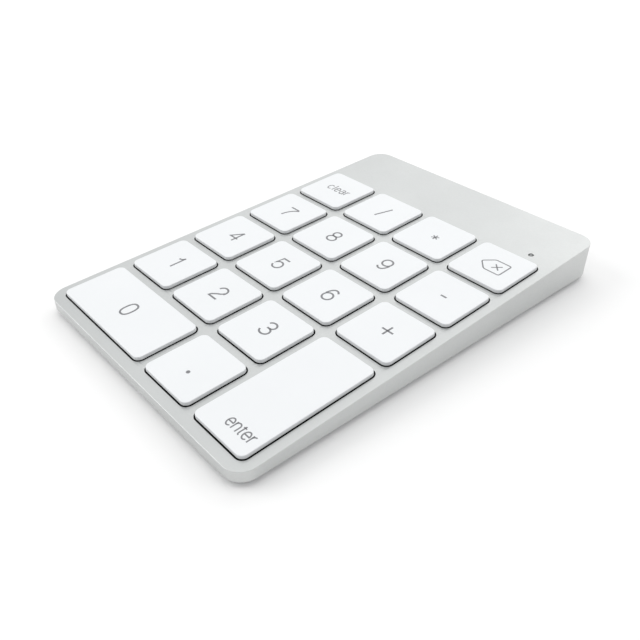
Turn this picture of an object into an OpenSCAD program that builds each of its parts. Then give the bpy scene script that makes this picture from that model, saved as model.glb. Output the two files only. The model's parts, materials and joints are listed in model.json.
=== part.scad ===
// Slim numeric keypad: a wedge-shaped aluminium case with eighteen low scissor keys.
// Millimetres. Origin: the middle of the footprint, on the surface that the keypad stands on.
// +X points right, +Y away from the user and +Z up.
// "Deck" places are measured on the sloping top face: x from the middle, y from the front
// edge, z square to the face, with z = 0 on its outer surface.

/* [Case] */
// Width of the case
case_w = 79; // [78.6:0.1:82]
// Length of the sloping top face, front to back
deck_l = 114.8; // [114.5:0.1:118]
// Height of the top face's front edge above the table
front_h = 4.2; // [4.2:0.1:5]
// Slope of the top face in degrees
tilt = 3.2; // [3.2:0.1:4.5]
// Radius of the case's corners seen from above
corner_r = 4.5; // [3:0.1:5]
// Thickness of the top face
deck_t = 1; // [0.8:0.05:1.1]
// Thickness of the side walls
wall_t = 1.5; // [1.4:0.05:1.6]

/* [Key grid] */
// Distance between columns of keys
pitch_x = 19; // [18.9:0.05:19.1]
// Distance between rows of keys
pitch_y = 18.65; // [18.6:0.05:18.8]
// Width of one key opening
opening_w = 17; // [16.8:0.05:17.1]
// Length of one key opening, front to back
opening_l = 16.65; // [16.5:0.05:16.75]
// Corner radius of a key opening
opening_r = 1.9; // [1.3:0.1:2.2]
// Front edge of the case to the first row of openings
front_margin = 2.8; // [2.6:0.1:3.2]

/* [Keys] */
// Gap between a key and its opening
key_gap = 0.35; // [0.25:0.05:0.4]
// Height of a key above the top face
key_rise = 0.9; // [0.85:0.05:1.2]
// How far a key goes down
key_travel = 0.85; // [0.6:0.05:0.85]

/* [Lever pairs] */
// Length of the outer lever between its end bars
outer_lever_l = 10.5; // [10.3:0.1:10.6]
// Length of the inner lever between its end bars
inner_lever_l = 8.25; // [8:0.05:8.4]
// Thickness of the levers' bars and of the stabiliser wires
bar_d = 0.6; // [0.5:0.02:0.6]

/* [Rear edge] */
// Place of the power slider's slot, left or right of the middle
slider_x = -20; // [-24:0.5:-14]
// How far the power slider moves
slider_travel = 2; // [1.5:0.1:2.4]
// Place of the pairing button, left or right of the middle
button_x = 20; // [14:0.5:23]
// How far the pairing button goes in
button_travel = 0.3; // [0.2:0.05:0.35]

/* [Hidden] */
$fn = 48;
eps = 0.01;
// How far a cut runs past what it cuts
over = 1;

// Colours
ALUMINIUM = [0.80, 0.81, 0.82];
WHITE = [0.95, 0.95, 0.97];
SILICONE = [0.86, 0.88, 0.88];
STEEL = [0.70, 0.71, 0.73];
BLACK = [0.10, 0.10, 0.11];
FILM = [0.24, 0.27, 0.26];
BOARD_GREEN = [0.08, 0.30, 0.18];
FOIL = [0.74, 0.75, 0.72];
RUBBER = [0.35, 0.36, 0.38];

// Case: heights above the table
plan_l = deck_l * cos(tilt);
cover_bottom_z = 0.7;
cover_t = 1;
cover_top_z = cover_bottom_z + cover_t;
wall_bottom_z = 1.3;
deck_back_h = front_h + deck_l * sin(tilt);
lip_t = 0.6;
cover_gap = 0.1;

// Keys: [name, first column, first row, columns, rows], counted from the front left
KEYS = [
    ["0", 0, 0, 2, 1], ["decimal", 2, 0, 1, 1], ["enter", 3, 0, 1, 2],
    ["1", 0, 1, 1, 1], ["2", 1, 1, 1, 1], ["3", 2, 1, 1, 1],
    ["4", 0, 2, 1, 1], ["5", 1, 2, 1, 1], ["6", 2, 2, 1, 1], ["plus", 3, 2, 1, 1],
    ["7", 0, 3, 1, 1], ["8", 1, 3, 1, 1], ["9", 2, 3, 1, 1], ["minus", 3, 3, 1, 1],
    ["clear", 0, 4, 1, 1], ["divide", 1, 4, 1, 1], ["multiply", 2, 4, 1, 1],
    ["backspace", 3, 4, 1, 1]
];
COLUMNS = 4;
ROWS = 5;
first_x = -(COLUMNS - 1) / 2 * pitch_x;
first_y = front_margin + opening_l / 2;
grid_back_y = front_margin + (ROWS - 1) * pitch_y + opening_l;

// Key caps, as heights above the top face
cap_r = opening_r - key_gap;
cap_wall_t = 0.8;
cap_edge = 0.16;
cap_edge_h = 0.2;
skirt_z = 0;
ceiling_z = 0.35;

// Layers under the keys, as heights above the top face
membrane_t = 0.2;
membrane_top_z = -2.02;
membrane_z = membrane_top_z - membrane_t;
hinge_plate_t = 0.3;
hinge_plate_z = membrane_z - hinge_plate_t;
layer_side_gap = 0.3;
layer_w = case_w - 2 * (wall_t + layer_side_gap);
layer_front_y = 2.2;
layer_overrun = 1.2;
layer_back_y = grid_back_y + layer_overrun;
layer_r = 2;
layer_hole_play = 0.3;
hook_slot_play = 0.2;
dome_base_d = 5.4;
dome_top_d = 2.6;
dome_skin = 0.35;
dome_foot_t = 0.2;
dome_plug_h = 0.7;

// Lever pairs: axes of the end bars above the top face
cap_axis_z = -0.1;
plate_axis_z = -1.7;
lever_rise = cap_axis_z - plate_axis_z;
middle_axis_z = (cap_axis_z + plate_axis_z) / 2;
outer_angle = asin(lever_rise / outer_lever_l);
inner_angle = asin(lever_rise / inner_lever_l);
outer_end_y = outer_lever_l / 2 * cos(outer_angle);
inner_end_y = inner_lever_l / 2 * cos(inner_angle);
outer_lever_w = 12.4;
inner_lever_w = 10.6;
arm_w = 0.7;
pivot_d = 0.5;
pivot_boss_d = 1;
running_gap = 0.05;

// How far a bar slides in its hook as the key goes down, with a little play
function end_slide(length) =
    length * cos(asin((lever_rise - key_travel) / length))
    - length * cos(asin(lever_rise / length)) + running_gap;
outer_slide = end_slide(outer_lever_l);
inner_slide = end_slide(inner_lever_l);

// Hooks that hold the end bars
hook_w = 0.9;
hook_wall_t = 0.2;
hook_end_t = 0.27;
hook_half_l = bar_d / 2 + running_gap + hook_end_t;
outer_hook_x = 4.6;
inner_hook_x = 2.6;

// Stabiliser wires under the two long keys
wire_arm_l = 5;
wire_arm_x = 14;
wire_end_x = 15.5;
wire_pivot_y = 1.6;
wire_angle = asin(lever_rise / wire_arm_l);
wire_bar_y = wire_pivot_y + wire_arm_l * cos(wire_angle);
wire_slide = end_slide(wire_arm_l);
wire_hook_x = 14.9;
wire_clip_x = 10;

// Deck screws and mid case screws, at crossings of the grid: [columns, rows] before it
DECK_SCREWS = [[2, 1], [1, 2], [3, 2], [2, 3], [1, 4], [3, 4]];
MID_SCREWS = [[1, 3], [3, 3]];
deck_boss_d = 3;
deck_screw_d = 1.1;
deck_screw_deep = 1.4;
deck_screw_head_d = 2.4;
deck_screw_head_t = 0.5;
hole_play = 0.1;

// Cross recess of a screw: its length and width as shares of the head, and its depth as one
// of the head's thickness
recess_l = 0.6;
recess_w = 0.14;
recess_deep = 0.5;

// Case screws
case_screw_d = 1.4;
case_screw_head_d = 2.8;
case_screw_head_t = 0.6;
case_screw_l = 5.6;
case_screw_seat_z = 1.3;
case_boss_d = 4;
boss_sink = 0.5;
post_d = 3.6;
rear_screw_x = 35.2;
rear_screw_y = 49;
rear_screw_deck_y = (plan_l / 2 + rear_screw_y) / cos(tilt);

// Feet
foot_d = 8;
foot_x = 29.4;
foot_y = 46.5;
foot_sink = 0.3;

// Board in the rear of the case
board_w = 66;
board_front_y = 38.8;
board_l = 16.4;
board_z = 3.2;
board_t = 0.8;
board_r = 1;
board_top_z = board_z + board_t;
board_screw_x = 28.4;
board_screw_y = 49;
board_screw_d = 1.6;
board_screw_l = 2.1;
board_screw_head_d = 2.8;
board_screw_head_t = 0.6;
board_boss_d = 3.4;
board_hole_z = 1.1;

// Charging port
port_w = 8.94;
port_h = 3.2;
port_l = 7.35;
port_skin = 0.3;
port_gap = 0.13;
port_sink = 0.2;
port_back_y = plan_l / 2 - port_sink;
port_z = board_top_z + port_h / 2;
tongue_w = 6.69;
tongue_t = 0.7;
tongue_l = 4.8;
tongue_block_l = 1.2;

// Power switch and its slider
switch_w = 6.6;
switch_l = 2.6;
switch_h = 2.6;
switch_back_y = board_front_y + board_l;
slider_z = port_z;
slider_neck_w = 1.4;
slider_neck_h = 1;
slider_knob_w = 2.8;
slider_knob_h = 1.9;
slider_knob_t = 0.5;
slider_knob_sink = 0.1;
slider_knob_r = 0.5;
slider_pocket_deep = 0.7;
slider_pocket_r = 0.8;
slider_play = 0.15;
slider_groove_l = 0.8;
grip_pitch = 0.8;
grip_cut = 0.3;

// Pairing button and its switch
button_d = 3.2;
button_flange_w = 5;
button_flange_h = 2.8;
button_flange_t = 0.5;
button_flange_r = 0.8;
button_flange_gap = 0.1;
button_stem_d = 1.5;
button_stem_in = 0.6;
button_z = port_z;
button_face_sink = 0.1;
button_face_y = plan_l / 2 - button_face_sink;
button_flange_y = plan_l / 2 - wall_t - button_flange_gap;
pairing_switch_w = 4.6;
pairing_switch_l = 3.4;
pairing_switch_h = 3.2;
pairing_switch_back_y = 54.4;

// Status light: its place on the deck
light_x = 31.55;
light_y = 97.4;
light_d = 1.3;
light_flange_d = 2.4;
light_flange_t = 0.5;
light_l = 4.6;

// Battery under the back rows
battery_w = 46;
battery_l = 27;
battery_t = 2.8;
battery_r = 1.2;
battery_front_y = 9;
lead_d = 0.8;
lead_rise = 0.5;
lead_x = 12;
lead_gap = 1.4;
lead_plug_w = 4;
lead_plug_l = 3;
lead_plug_h = 1.6;
lead_plug_y = 41;

// Flat cable from the membrane and its connector
tail_w = 10;
tail_x = -14;
tail_root = 0.4;
connector_w = 13;
connector_l = 4;
connector_h = 1.4;
connector_y = 40.8;

// ---- Places and outlines -------------------------------------------------------------

function key_x(key) = first_x + (key[1] + (key[3] - 1) / 2) * pitch_x;
function key_y(key) = first_y + (key[2] + (key[4] - 1) / 2) * pitch_y;
function is_turned(key) = key[4] > 1;
function is_long(key) = key[3] > 1 || key[4] > 1;
function opening_size(key) = [
    opening_w + (key[3] - 1) * pitch_x,
    opening_l + (key[4] - 1) * pitch_y
];

// A key's own x and y sizes, with x along its lever bars
function cap_size(key) =
    let (deck_size = opening_size(key) - [2 * key_gap, 2 * key_gap])
    is_turned(key) ? [deck_size.y, deck_size.x] : deck_size;

// The web crossing that has this many columns to its left and rows before it
function crossing(place) = [
    first_x + (place[0] - 0.5) * pitch_x,
    first_y + (place[1] - 0.5) * pitch_y
];

module on_deck() {
    translate([0, -plan_l / 2, front_h]) rotate([tilt, 0, 0]) children();
}

// A key's own frame: on the deck at the key's middle, x along its lever bars
module at_key(key) {
    on_deck() translate([key_x(key), key_y(key), 0])
        rotate([0, 0, is_turned(key) ? 90 : 0]) children();
}

module rounded_rect(w, l, r) {
    square([w - 2 * r, l], center = true);
    square([w, l - 2 * r], center = true);
    for (sx = [-1, 1], sy = [-1, 1])
        translate([sx * (w / 2 - r), sy * (l / 2 - r)]) circle(r = r);
}

module case_outline(inset) {
    rounded_rect(case_w - 2 * inset, plan_l - 2 * inset, corner_r - inset);
}

// Everything below a height on the deck
module below_deck(z) {
    on_deck() translate([-case_w, -deck_l, z - deck_l]) cube([2 * case_w, 3 * deck_l, deck_l]);
}

module bar_along_x(d, length) {
    rotate([0, 90, 0]) cylinder(d = d, h = length, center = true);
}

// ---- Case ----------------------------------------------------------------------------

module port_outline(grow) {
    rounded_rect(port_w + 2 * grow, port_h + 2 * grow, port_h / 2 + grow - eps);
}

module along_back(x, z, y) {
    translate([x, y, z]) rotate([90, 0, 0]) children();
}

module case_shell() {
    difference() {
        translate([0, 0, wall_bottom_z]) linear_extrude(deck_back_h) case_outline(0);
        difference() {
            translate([-case_w, -plan_l, 0]) cube([2 * case_w, 2 * plan_l, 3 * deck_back_h]);
            below_deck(0);
        }
        translate([0, 0, wall_bottom_z - eps])
            linear_extrude(cover_top_z - wall_bottom_z + eps) case_outline(lip_t);
        intersection() {
            translate([0, 0, cover_top_z - eps]) linear_extrude(deck_back_h) case_outline(wall_t);
            below_deck(-deck_t);
        }
    }
}

module case_openings() {
    for (key = KEYS)
        on_deck() translate([key_x(key), key_y(key), -2 * deck_t])
            linear_extrude(3 * deck_t)
                rounded_rect(opening_size(key).x, opening_size(key).y, opening_r);
    on_deck() translate([light_x, light_y, -2 * deck_t])
        cylinder(d = light_d + hole_play, h = 3 * deck_t);
    along_back(0, port_z, plan_l / 2 + over) linear_extrude(wall_t + 2 * over)
        port_outline(port_gap);
    along_back(button_x, button_z, plan_l / 2 + over)
        cylinder(d = button_d + 2 * running_gap, h = wall_t + 2 * over);
    along_back(slider_x, slider_z, plan_l / 2 + over)
        linear_extrude(over + slider_pocket_deep)
            rounded_rect(
                slider_knob_w + slider_travel + 4 * slider_play,
                slider_knob_h + 4 * slider_play,
                slider_pocket_r
            );
    translate([slider_x, plan_l / 2, slider_z])
        cube([
            slider_neck_w + slider_travel + 2 * slider_play,
            3 * wall_t,
            slider_neck_h + 2 * slider_play
        ], center = true);
}

module top_case() {
    color(ALUMINIUM) difference() {
        union() {
            difference() {
                case_shell();
                case_openings();
            }
            on_deck() for (place = DECK_SCREWS)
                translate([crossing(place).x, crossing(place).y, membrane_top_z])
                    cylinder(d = deck_boss_d, h = -membrane_top_z - boss_sink);
            difference() {
                for (place = MID_SCREWS) mid_screw_axis(place)
                    cylinder(d = deck_boss_d, h = deck_h(crossing(place).y) - boss_sink);
                below_deck(membrane_top_z);
            }
            for (side = [-1, 1]) translate([side * rear_screw_x, rear_screw_y, cover_top_z])
                cylinder(d = case_boss_d, h = deck_h(rear_screw_deck_y) - boss_sink - cover_top_z);
        }
        on_deck() for (place = DECK_SCREWS)
            translate([crossing(place).x, crossing(place).y, membrane_top_z - eps])
                cylinder(d = deck_screw_d + hole_play, h = deck_screw_deep);
        for (place = MID_SCREWS) mid_screw_axis(place) case_screw_bore();
        for (side = [-1, 1]) translate([side * rear_screw_x, rear_screw_y, 0]) case_screw_bore();
    }
}

// Vertical axis through a crossing, from the table up
module mid_screw_axis(place) {
    translate([crossing(place).x, crossing(place).y * cos(tilt) - plan_l / 2, 0]) children();
}

// Height of the top face above the table at a place along it
function deck_h(y) = front_h + y * sin(tilt);

module case_screw_bore() {
    cylinder(d = case_screw_d + hole_play, h = case_screw_seat_z + case_screw_l + 2 * hole_play);
}

module bottom_cover() {
    color(ALUMINIUM) difference() {
        union() {
            translate([0, 0, cover_bottom_z]) linear_extrude(cover_t) case_outline(lip_t + cover_gap);
            for (side = [-1, 1]) translate([side * board_screw_x, board_screw_y, cover_bottom_z])
                cylinder(d = board_boss_d, h = board_z - cover_bottom_z);
            intersection() {
                for (place = MID_SCREWS) mid_screw_axis(place) translate([0, 0, cover_bottom_z])
                    cylinder(d = post_d, h = deck_back_h);
                below_deck(hinge_plate_z - running_gap);
            }
        }
        for (place = MID_SCREWS) mid_screw_axis(place) cover_screw_hole();
        for (side = [-1, 1]) translate([side * rear_screw_x, rear_screw_y, 0]) cover_screw_hole();
        for (side = [-1, 1]) translate([side * board_screw_x, board_screw_y, board_hole_z])
            cylinder(d = board_screw_d + hole_play, h = board_z);
        for (sx = [-1, 1], sy = [-1, 1]) translate([sx * foot_x, sy * foot_y, 0])
            cylinder(d = foot_d + hole_play, h = cover_bottom_z + foot_sink);
    }
}

module cover_screw_hole() {
    case_screw_bore();
    cylinder(d = case_screw_head_d + 4 * hole_play, h = case_screw_seat_z);
}

module rubber_feet() {
    color(RUBBER) for (sx = [-1, 1], sy = [-1, 1]) translate([sx * foot_x, sy * foot_y, 0])
        cylinder(d = foot_d, h = cover_bottom_z + foot_sink);
}

// ---- Screws --------------------------------------------------------------------------

// A pan-head screw: its shank points up from the seat, its head hangs below it
module screw(shank_d, shank_l, head_d, head_t) {
    difference() {
        union() {
            cylinder(d = shank_d, h = shank_l);
            translate([0, 0, -head_t]) cylinder(d = head_d, h = head_t);
        }
        for (turn = [0, 90]) rotate([0, 0, turn]) translate([0, 0, -head_t])
            cube([recess_l * head_d, recess_w * head_d, 2 * recess_deep * head_t], center = true);
    }
}

module deck_screws() {
    color(STEEL) on_deck() for (place = DECK_SCREWS)
        translate([crossing(place).x, crossing(place).y, hinge_plate_z])
            screw(
                deck_screw_d,
                membrane_top_z - hinge_plate_z + deck_screw_deep - hole_play,
                deck_screw_head_d,
                deck_screw_head_t
            );
}

module case_screw() {
    translate([0, 0, case_screw_seat_z])
        screw(case_screw_d, case_screw_l, case_screw_head_d, case_screw_head_t);
}

module case_screws() {
    color(STEEL) {
        for (place = MID_SCREWS) mid_screw_axis(place) case_screw();
        for (side = [-1, 1]) translate([side * rear_screw_x, rear_screw_y, 0]) case_screw();
    }
}

module board_screws() {
    color(STEEL) for (side = [-1, 1])
        translate([side * board_screw_x, board_screw_y, board_top_z]) mirror([0, 0, 1])
            screw(board_screw_d, board_screw_l, board_screw_head_d, board_screw_head_t);
}

// ---- Layers under the keys -----------------------------------------------------------

// A hook that holds a bar lying along x through the origin, with room for the bar to slide
// towards +y. It stands on the plate under it, or hangs from a ceiling when hung.
module hook(root_z, slide, hung) {
    bore_d = bar_d + 2 * running_gap;
    reach = bore_d / 2 + hook_wall_t;
    low = hung ? -reach : root_z;
    high = hung ? root_z : reach;
    difference() {
        translate([-hook_w / 2, -hook_half_l, low])
            cube([hook_w, 2 * hook_half_l + slide, high - low]);
        bar_along_x(bore_d, 2 * hook_w);
        if (slide > 0) {
            translate([0, slide, 0]) bar_along_x(bore_d, 2 * hook_w);
            translate([-hook_w, 0, -bore_d / 2]) cube([2 * hook_w, slide, bore_d]);
        }
    }
}

// Puts its children at each hook of the plate under one key
module at_plate_hooks(key) {
    at_key(key) for (side = [-1, 1]) {
        translate([side * outer_hook_x, -outer_end_y, plate_axis_z]) children(0);
        translate([side * inner_hook_x, inner_end_y, plate_axis_z]) children(1);
        if (is_long(key)) translate([side * wire_hook_x, wire_pivot_y, plate_axis_z]) children(0);
    }
}

module layer_outline() {
    translate([0, (layer_front_y + layer_back_y) / 2])
        rounded_rect(layer_w, layer_back_y - layer_front_y, layer_r);
}

module layer_screw_holes(extra) {
    on_deck() for (place = DECK_SCREWS)
        translate([crossing(place).x, crossing(place).y, hinge_plate_z - over])
            cylinder(d = deck_screw_d + extra, h = 2 * over);
    for (place = MID_SCREWS) mid_screw_axis(place)
        cylinder(d = case_screw_d + 2 * extra, h = deck_back_h);
}

module hinge_plate() {
    root_z = membrane_z - plate_axis_z - eps;
    color(BLACK) {
        difference() {
            union() {
                on_deck() translate([0, 0, hinge_plate_z]) linear_extrude(hinge_plate_t) layer_outline();
                for (key = KEYS) at_plate_hooks(key) {
                    hook(root_z, 0, false);
                    hook(root_z, inner_slide, false);
                }
            }
            layer_screw_holes(layer_hole_play);
        }
    }
}

// The slot in the membrane that a hook comes up through
module hook_slot(slide) {
    translate([-hook_w / 2 - hook_slot_play, -hook_half_l - hook_slot_play, -over])
        cube([hook_w + 2 * hook_slot_play, 2 * (hook_half_l + hook_slot_play) + slide, over]);
}

// The flat cable leaves the membrane's back edge and slopes down to its connector
module membrane_tail() {
    start = [
        layer_back_y * cos(tilt) - membrane_z * sin(tilt) - plan_l / 2 + running_gap,
        front_h + layer_back_y * sin(tilt) + membrane_z * cos(tilt)
    ];
    end = [connector_y, board_top_z + connector_h / 2];
    translate([tail_x - tail_w / 2, 0, 0]) rotate([90, 0, 90]) linear_extrude(tail_w)
        polygon([
            start + [-tail_root, membrane_t / 2],
            start,
            end,
            end + [0, membrane_t],
            start + [0, membrane_t]
        ]);
}

module membrane_circuit() {
    color(FILM) {
        difference() {
            on_deck() translate([0, 0, membrane_z]) linear_extrude(membrane_t) layer_outline();
            for (key = KEYS) at_plate_hooks(key) {
                hook_slot(0);
                hook_slot(inner_slide);
            }
            layer_screw_holes(2 * layer_hole_play);
        }
        membrane_tail();
    }
}

module rubber_domes() {
    dome_h = ceiling_z - membrane_top_z;
    neck_z = dome_h - dome_plug_h;
    color(SILICONE) for (key = KEYS) at_key(key) translate([0, 0, membrane_top_z])
        rotate_extrude()
            polygon([
                [dome_base_d / 2 - 2 * dome_skin, 0],
                [dome_base_d / 2, 0],
                [dome_base_d / 2, dome_foot_t],
                [dome_base_d / 2 - dome_skin, 1.5 * dome_foot_t],
                [dome_top_d / 2, neck_z],
                [dome_top_d / 2, dome_h],
                [0, dome_h],
                [0, neck_z - dome_skin],
                [dome_top_d / 2 - dome_skin, neck_z - dome_skin]
            ]);
}

// ---- Keys ----------------------------------------------------------------------------

module cap_shell(key) {
    size = cap_size(key);
    difference() {
        union() {
            translate([0, 0, skirt_z])
                linear_extrude(key_rise - cap_edge_h - skirt_z) rounded_rect(size.x, size.y, cap_r);
            translate([0, 0, key_rise - cap_edge_h - eps])
                linear_extrude(cap_edge_h + eps)
                    rounded_rect(size.x - 2 * cap_edge, size.y - 2 * cap_edge, cap_r - cap_edge);
        }
        translate([0, 0, skirt_z - eps]) linear_extrude(ceiling_z - skirt_z + eps)
            rounded_rect(size.x - 2 * cap_wall_t, size.y - 2 * cap_wall_t, cap_r - cap_wall_t);
    }
}

module key_cap(key) {
    root_z = ceiling_z - cap_axis_z + eps;
    color(WHITE) at_key(key) {
        cap_shell(key);
        for (side = [-1, 1]) {
            translate([side * outer_hook_x, outer_end_y, cap_axis_z]) hook(root_z, outer_slide, true);
            translate([side * inner_hook_x, -inner_end_y, cap_axis_z]) hook(root_z, 0, true);
            if (is_long(key)) translate([side * wire_clip_x, wire_bar_y, cap_axis_z])
                hook(root_z, wire_slide, true);
        }
    }
}

// One lever: two arms joined by a round bar at each end, seen along x as a line
module lever_frame(length, width) {
    for (end = [-1, 1]) translate([0, end * length / 2, 0]) bar_along_x(bar_d, width);
    for (side = [-1, 1]) translate([side * (width - arm_w) / 2, 0, 0])
        cube([arm_w, length, bar_d], center = true);
}

module lever_pair(key) {
    color(WHITE) at_key(key) translate([0, 0, middle_axis_z]) {
        rotate([outer_angle, 0, 0]) difference() {
            union() {
                lever_frame(outer_lever_l, outer_lever_w);
                for (side = [-1, 1]) translate([side * (outer_lever_w - arm_w) / 2, 0, 0])
                    bar_along_x(pivot_boss_d, arm_w);
            }
            bar_along_x(pivot_d + 2 * running_gap, 2 * outer_lever_w);
        }
        rotate([-inner_angle, 0, 0]) {
            lever_frame(inner_lever_l, inner_lever_w);
            for (side = [-1, 1])
                translate([side * (inner_lever_w + outer_lever_w) / 4, 0, 0])
                    bar_along_x(pivot_d, (outer_lever_w - inner_lever_w) / 2 + eps);
        }
    }
}

// A bent wire: a long bar held by the key, and two arms whose ends turn in the plate's hooks
module stabiliser_wire(key) {
    color(STEEL) at_key(key) {
        translate([0, wire_bar_y, cap_axis_z]) bar_along_x(bar_d, 2 * wire_arm_x);
        for (side = [-1, 1]) {
            translate([side * wire_arm_x, wire_pivot_y, plate_axis_z]) {
                rotate([wire_angle - 90, 0, 0]) cylinder(d = bar_d, h = wire_arm_l);
                sphere(d = bar_d);
                translate([side * (wire_end_x - wire_arm_x) / 2, 0, 0])
                    bar_along_x(bar_d, wire_end_x - wire_arm_x);
            }
            translate([side * wire_arm_x, wire_bar_y, cap_axis_z]) sphere(d = bar_d);
        }
    }
}

module zero_key_wire() {
    stabiliser_wire(KEYS[0]);
}

module enter_key_wire() {
    stabiliser_wire(KEYS[2]);
}

// ---- Board and what is on it ---------------------------------------------------------

module on_board(x, y) {
    translate([x, y, board_top_z]) children();
}

module main_board() {
    color(BOARD_GREEN) difference() {
        translate([0, board_front_y + board_l / 2, board_z]) linear_extrude(board_t)
            rounded_rect(board_w, board_l, board_r);
        for (side = [-1, 1]) translate([side * board_screw_x, board_screw_y, board_z - over])
            cylinder(d = board_screw_d + 2 * hole_play, h = board_t + 2 * over);
    }
}

// Flat packages: [x, y, width, length, height]
CHIPS = [
    [12, 49.5, 6, 6, 0.9],
    [20, 44.5, 3, 3, 0.8],
    [4, 45, 3.2, 2.5, 0.8],
    [-9, 51.5, 4, 3.4, 0.9],
    [-26, 43, 2, 1.25, 0.8]
];

module board_chips() {
    color(BLACK) for (chip = CHIPS) on_board(chip[0], chip[1])
        translate([-chip[2] / 2, -chip[3] / 2, 0]) cube([chip[2], chip[3], chip[4]]);
}

module battery() {
    color(FOIL) translate([0, battery_front_y + battery_l / 2, cover_top_z])
        linear_extrude(battery_t) rounded_rect(battery_w, battery_l, battery_r);
}

module battery_lead() {
    lead_y = battery_front_y + battery_l;
    lead_z = board_top_z + lead_rise;
    color(BLACK) {
        on_board(lead_x - lead_plug_w / 2, lead_plug_y) cube([lead_plug_w, lead_plug_l, lead_plug_h]);
        for (side = [-1, 1])
            translate([lead_x + side * lead_gap / 2, lead_y, lead_z]) rotate([-90, 0, 0])
                cylinder(d = lead_d, h = lead_plug_y - lead_y + eps);
    }
}

module membrane_connector() {
    color(WHITE) on_board(tail_x - connector_w / 2, connector_y)
        cube([connector_w, connector_l, connector_h]);
}

module charging_port_shell() {
    color(STEEL) along_back(0, port_z, port_back_y) difference() {
        linear_extrude(port_l) port_outline(0);
        translate([0, 0, -eps]) linear_extrude(port_l - port_skin + eps) port_outline(-port_skin);
    }
}

module charging_port_tongue() {
    block_z = port_l - port_skin - tongue_block_l;
    color(BLACK) along_back(0, port_z, port_back_y) {
        translate([0, 0, block_z]) linear_extrude(tongue_block_l) port_outline(-port_skin);
        translate([-tongue_w / 2, -tongue_t / 2, block_z - tongue_l])
            cube([tongue_w, tongue_t, tongue_l + eps]);
    }
}

module power_switch() {
    color(STEEL) difference() {
        on_board(slider_x - switch_w / 2, switch_back_y - switch_l)
            cube([switch_w, switch_l, switch_h]);
        translate([slider_x, switch_back_y, slider_z])
            cube([
                slider_neck_w + slider_travel + 2 * slider_play,
                2 * slider_groove_l,
                slider_neck_h + 2 * slider_play
            ], center = true);
    }
}

// Stands at the left end of its travel
module power_slider() {
    knob_y = plan_l / 2 - slider_knob_sink - slider_knob_t;
    tail_y = switch_back_y - slider_groove_l + slider_play;
    color(BLACK) translate([slider_x - slider_travel / 2, 0, slider_z]) {
        translate([-slider_neck_w / 2, tail_y, -slider_neck_h / 2])
            cube([slider_neck_w, knob_y - tail_y + eps, slider_neck_h]);
        difference() {
            along_back(0, 0, knob_y + slider_knob_t) linear_extrude(slider_knob_t)
                rounded_rect(slider_knob_w, slider_knob_h, slider_knob_r);
            for (groove = [-1 : 1])
                translate([groove * grip_pitch, knob_y + slider_knob_t, 0])
                    cube([grip_cut, grip_cut, slider_knob_h + over], center = true);
        }
    }
}

module pairing_switch() {
    stem_hole_l = button_stem_in + button_travel + button_stem_in / 2;
    color(STEEL) difference() {
        on_board(button_x - pairing_switch_w / 2, pairing_switch_back_y - pairing_switch_l)
            cube([pairing_switch_w, pairing_switch_l, pairing_switch_h]);
        along_back(button_x, button_z, pairing_switch_back_y + eps)
            cylinder(d = button_stem_d + 2 * running_gap, h = stem_hole_l);
    }
}

module pairing_button() {
    stem_end_y = pairing_switch_back_y - button_stem_in;
    color(BLACK) {
        along_back(button_x, button_z, button_face_y)
            cylinder(d = button_d, h = button_face_y - button_flange_y + eps);
        along_back(button_x, button_z, button_flange_y)
            linear_extrude(button_flange_t)
                rounded_rect(button_flange_w, button_flange_h, button_flange_r);
        along_back(button_x, button_z, button_flange_y)
            cylinder(d = button_stem_d, h = button_flange_y - stem_end_y);
    }
}

module status_led() {
    led_w = 1.6;
    led_l = 0.9;
    led_h = 0.6;
    color(WHITE) on_board(light_x, light_y * cos(tilt) - plan_l / 2 + light_l * sin(tilt))
        translate([-led_w / 2, -led_l / 2, 0]) cube([led_w, led_l, led_h]);
}

module light_pipe() {
    color(SILICONE) on_deck() translate([light_x, light_y, 0]) {
        translate([0, 0, -light_l]) cylinder(d = light_d, h = light_l);
        translate([0, 0, -deck_t - light_flange_t]) cylinder(d = light_flange_d, h = light_flange_t);
    }
}

// ---- Nodes ---------------------------------------------------------------------------

top_case();
bottom_cover();
rubber_feet();
hinge_plate();
membrane_circuit();
rubber_domes();
deck_screws();
case_screws();
board_screws();
main_board();
board_chips();
battery();
battery_lead();
membrane_connector();
charging_port_shell();
charging_port_tongue();
power_switch();
power_slider();
pairing_switch();
pairing_button();
status_led();
light_pipe();
zero_key_wire();
enter_key_wire();
for (key = KEYS) {
    key_cap(key);
    lever_pair(key);
}
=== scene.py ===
"""Slim numeric keypad: the finished looks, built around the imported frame.

Pieces are built in millimetres and turned into metres when their mesh is made. "Deck"
coordinates lie on the case's sloping top face: x from the middle, y up the slope from the
front edge, z square to the face.
"""
import json
import math

import bmesh
import bpy
from mathutils import Matrix, Vector


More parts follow.
